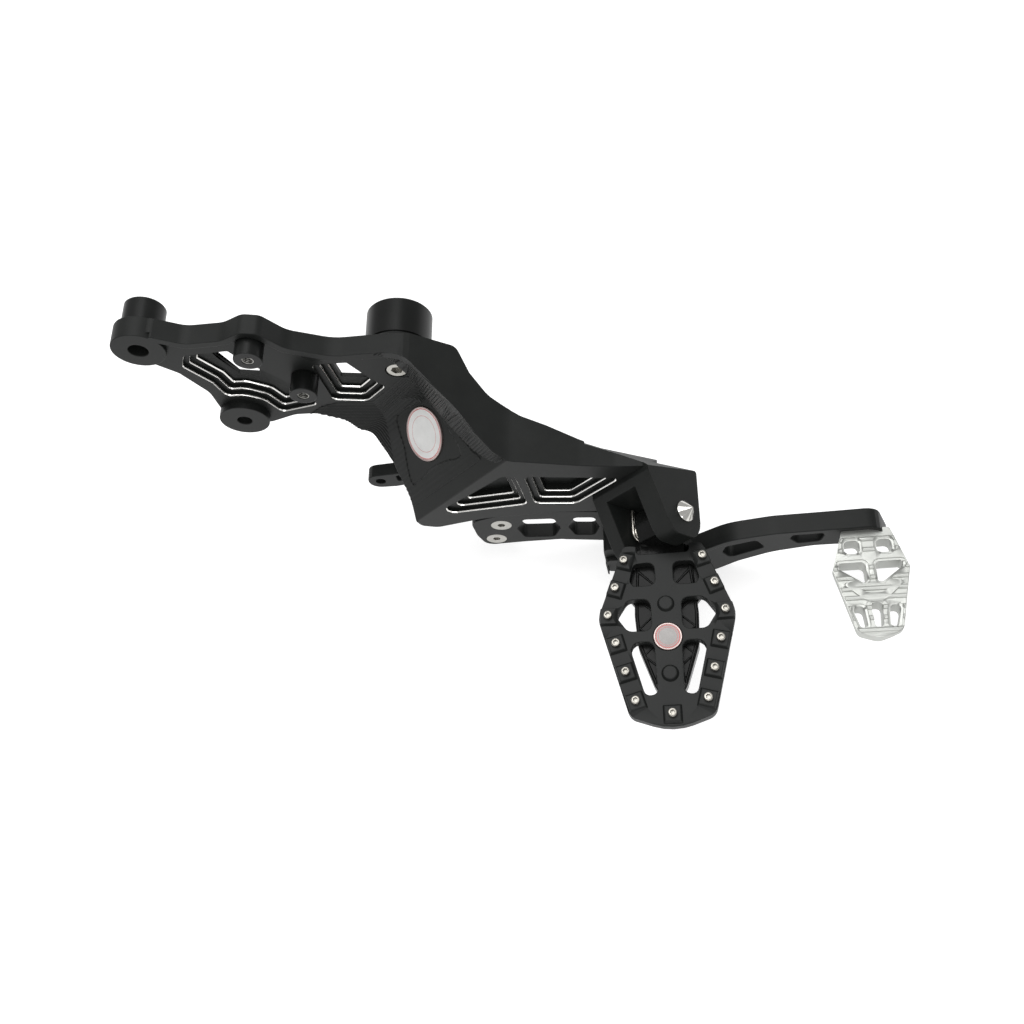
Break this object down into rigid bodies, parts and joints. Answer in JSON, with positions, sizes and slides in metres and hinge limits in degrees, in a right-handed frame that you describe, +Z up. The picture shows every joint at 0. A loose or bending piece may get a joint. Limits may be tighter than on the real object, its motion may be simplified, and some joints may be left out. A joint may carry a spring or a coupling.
{
  "type": "motorcycle footpeg assembly",
  "caption": "Right-hand mid-control footpeg: machined offset bracket, sprung folding peg with studded deck, and rear brake lever with bell crank and toe peg.",
  "frame": {"origin": "centre of the rear bolt hole on the bracket's outer face", "axes": "+X forward, -Y outboard to the motorcycle's right, +Z up"},
  "size_m": [0.4057, 0.2218, 0.1987],
  "materials": {
    "black_anodised": "satin black anodised",
    "cast_black": "black coated casting",
    "silver_aluminium": "bead blasted and clear anodised",
    "stainless": "turned stainless steel",
    "badge_metal": "plain spun disc",
    "spring_steel": "plated wire",
    "bronze": "sintered bronze"
  },
  "bodies": {
    "bracket": {"bracket": "black_anodised", "rear_spacer": "black_anodised", "main_spacer": "black_anodised", "main_screw": "stainless", "rear_post": "black_anodised", "front_post": "black_anodised", "wall_badge": "badge_metal", "hinge_pin": "stainless", "pin_nut": "stainless", "fold_spring": "spring_steel", "pivot_bolt": "stainless", "pivot_washer": "stainless", "return_spring": "spring_steel"},
    "peg": {"peg_arm": "cast_black", "hinge_bush": "bronze", "peg_deck": "black_anodised", "deck_screw_inner": "stainless", "deck_screw_outer": "stainless", "deck_badge": "badge_metal", "grip_pins": "stainless"},
    "lever": {"bell_crank": "black_anodised", "pivot_bush": "bronze", "brake_lever": "black_anodised", "lever_screw_upper": "stainless", "lever_screw_lower": "stainless", "toe_peg": "silver_aluminium", "toe_screw": "stainless"}
  },
  "joints": [
    {"name": "peg_fold", "type": "hinge", "parent": "bracket", "child": "peg", "pos_m": [0.25788, -0.0731, -0.10656], "axis": [-0.7071, 0, -0.7071], "range_deg": [0, 60], "stiffness_Nm_per_rad": 0.4, "springref_deg": -34.38},
    {"name": "brake_pivot", "type": "hinge", "parent": "bracket", "child": "lever", "pos_m": [0.138, -0.03, -0.118], "axis": [0, 1, 0], "range_deg": [0, 10], "stiffness_Nm_per_rad": 4, "springref_deg": -17.19}
  ]
}
